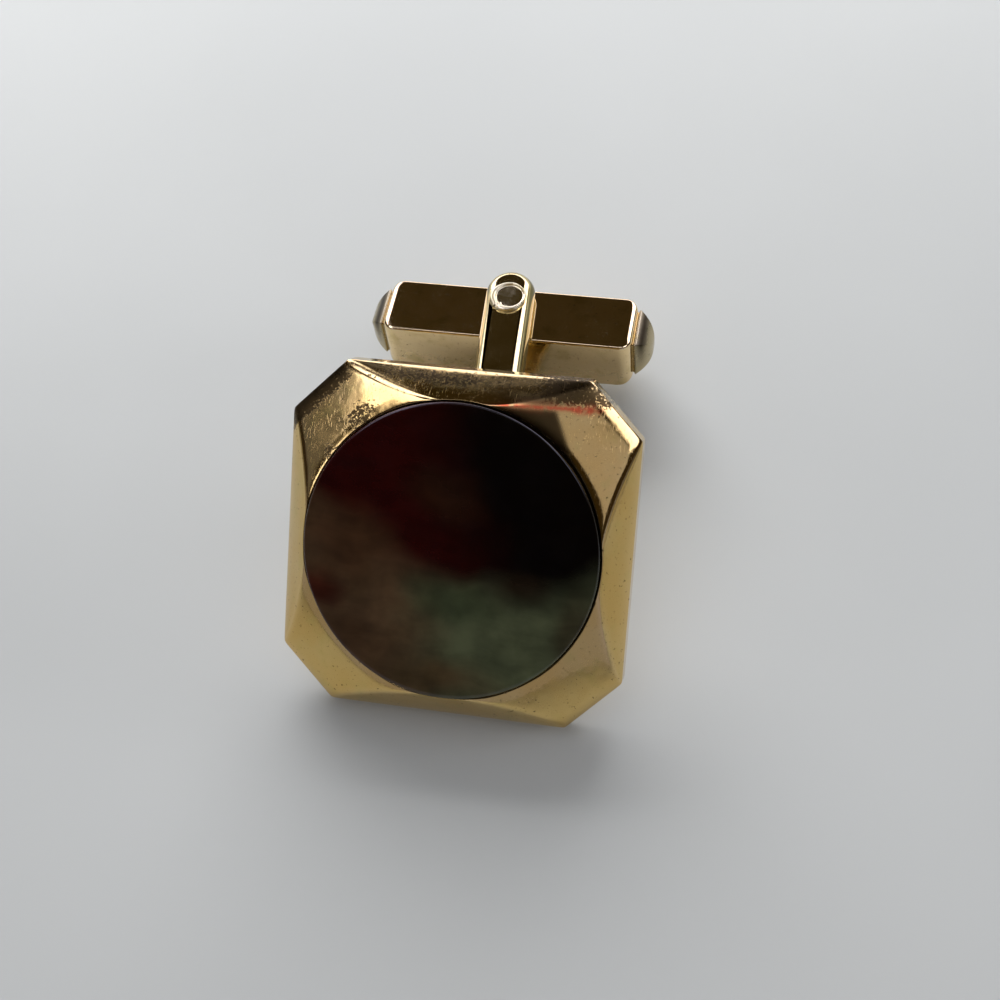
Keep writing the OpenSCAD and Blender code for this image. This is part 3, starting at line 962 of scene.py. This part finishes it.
# The CAD nodes that stay: how wide their edges are rounded, and their finish
for node, width, finish in (
    ("fork", 0.25, fork_gold), ("back_plate", 0.04, satin), ("post_base", 0.05, satin),
    ("solder_fillet", 0.02, solder), ("cement_bed", 0.01, cement), ("click_spring", 0.02, steel),
):
    soften(frame["nodes"][node], width, finish)


# The stage: half the floor's side in metres, what the camera sees behind it, the even light on the
# object, and what its gold mirrors: a glow near the floor, the dark above it, and panels with a blue tint
FLOOR_REACH = 3.0
BACKDROP = (0.56, 0.57, 0.575, 1)
EVEN_LIGHT = (0.33, 0.333, 0.340, 1)
GLOW = (0.38, 0.37, 0.35, 1)
GLOW_TOP = (0.10, 0.26)
DARK = (0.037, 0.026, 0.011, 1)
PANEL_BLUE = 1.32

# The panels: bearing (clockwise from behind), elevation, width, height and softness in degrees, level
STUDIO = (
    (180, 14, 140, 30, 3, 0.36),
    (0, 13, 72, 17, 2.5, 2.8),
    (-40, 20, 24, 38, 2, 3.2),
    (32, 26, 36, 28, 2, 3.2),
    (58, 6, 28, 24, 5, 0.05),
    (-67, 9, 22, 22, 4, 0.05),
    (-12, 29, 18, 6, 2, 0.14),
    (-14, 30, 4, 3, 2, 0.35),
    (0, 88, 30, 14, 2, 1.8),
    (80, 49, 27, 20, 1.5, 3.2),
    (120, 62, 17, 28, 1, 0.54),
    (-98, 38, 34, 10, 3, 0.16),
    (-95, 52.6, 12, 19, 1, 3.4),
    (-112, 57, 36, 16, 1, 3.4),
    (-50, 53, 26, 12, 2, 3.4),
    (-93, 40.6, 4, 2.6, 1.2, 0.40),
    (195, 40, 40, 22, 4, 0.012),
)

# The camera that the photograph was taken from, in millimetres, metres and degrees: it was fitted on
# the head's and the bar's corners
CAMERA_LENS = 55.942
CAMERA_PLACE = (0.016858, -0.0374, 0.082318)
CAMERA_TURN = (25.9755, 6.6119, 9.9079)


def floor():
    """A plain pale floor, which keeps the object's shadow."""
    corners = ((-1, -1), (1, -1), (1, 1), (-1, 1))
    mesh = bpy.data.meshes.new("floor")
    mesh.from_pydata([(x * FLOOR_REACH, y * FLOOR_REACH, 0) for x, y in corners], [], [(0, 1, 2, 3)])
    material, n, shader = new_material("pale_floor")
    tone = n.ramp(n.noise(n.millimetres(), scale=0.012, detail=4.0), 0.3, 0.7)
    n.feed(shader.inputs["Base Color"], n.mix(tone, (0.52, 0.53, 0.53, 1), (0.58, 0.59, 0.59, 1)))
    n.feed(shader.inputs["Roughness"], 0.75)
    n.feed(shader.inputs["Specular IOR Level"], 0.15)
    mesh.materials.append(material)
    obj = bpy.data.objects.new("floor", mesh)
    bpy.context.scene.collection.objects.link(obj)


def lamp(name, place, target, size, power):
    """A rectangular lamp that the gold doesn't mirror."""
    data = bpy.data.lights.new(name, "AREA")
    data.shape = "RECTANGLE"
    data.size, data.size_y = size
    data.energy = power
    obj = bpy.data.objects.new(name, data)
    obj.location = place
    obj.rotation_euler = (Vector(target) - Vector(place)).to_track_quat("-Z", "Y").to_euler()
    obj.visible_glossy = False
    bpy.context.scene.collection.objects.link(obj)


def world():
    """A dim studio as the gold mirrors it, with an even light and a plain backdrop for all else."""
    scene = bpy.context.scene
    scene.world = bpy.data.worlds.new("studio")
    scene.world.use_nodes = True
    n = Nodes(scene.world.node_tree)
    where = n.add("ShaderNodeTexCoord").outputs["Generated"]
    z = n.add("ShaderNodeSeparateXYZ", {0: where}).outputs[2]

    def panel(bearing, elevation, width, height, soft):
        """1 inside a panel, 0 outside it."""
        b, e = math.radians(bearing), math.radians(elevation)
        toward = Vector((math.sin(b) * math.cos(e), math.cos(b) * math.cos(e), math.sin(e)))
        across = Vector((math.cos(b), -math.sin(b), 0))
        inside = n.math("GREATER_THAN", n.vector("DOT_PRODUCT", where, toward), 0.0)
        for axis, size in ((across, width), (toward.cross(across), height)):
            offset = n.math("ABSOLUTE", n.vector("DOT_PRODUCT", where, axis))
            outer_edge = math.sin(math.radians(size / 2 + soft))
            inner_edge = math.sin(math.radians(size / 2 - soft))
            inside = n.times(inside, n.ramp(offset, outer_edge, inner_edge))
        return inside

    sky = n.mix(n.ramp(z, *GLOW_TOP), GLOW, DARK)
    for *place, level in STUDIO:
        sky = n.mix(panel(*place), sky, (level, level, level * PANEL_BLUE, 1))
    path = n.add("ShaderNodeLightPath")
    mirrored = n.math("ADD", path.outputs["Is Glossy Ray"], path.outputs["Is Transmission Ray"], clamp=True)
    light = n.mix(mirrored, EVEN_LIGHT, sky)
    background = n.tree.nodes["Background"]
    n.feed(background.inputs["Color"], n.mix(path.outputs["Is Camera Ray"], light, BACKDROP))


def camera():
    """The photograph's camera."""
    data = bpy.data.cameras.new("camera")
    data.sensor_width = 36.0
    data.lens = CAMERA_LENS
    data.clip_start = 0.001
    obj = bpy.data.objects.new("camera", data)
    obj.location = CAMERA_PLACE
    obj.rotation_euler = [math.radians(a) for a in CAMERA_TURN]
    bpy.context.scene.collection.objects.link(obj)
    bpy.context.scene.camera = obj


# Each lamp: its place and what it points at, its size in metres, and its power in watts
floor()
lamp("window", (-0.04, 0.17, 0.105), (0, 0.01, 0), (0.22, 0.10), 0.60)
lamp("ceiling", (-0.10, 0.05, 0.60), (0, 0, 0), (0.50, 0.50), 0.16)
lamp("side", (0.26, 0.05, 0.07), (0, 0.004, 0), (0.10, 0.06), 0.14)
world()
camera()
bpy.context.scene.view_settings.view_transform = "Standard"
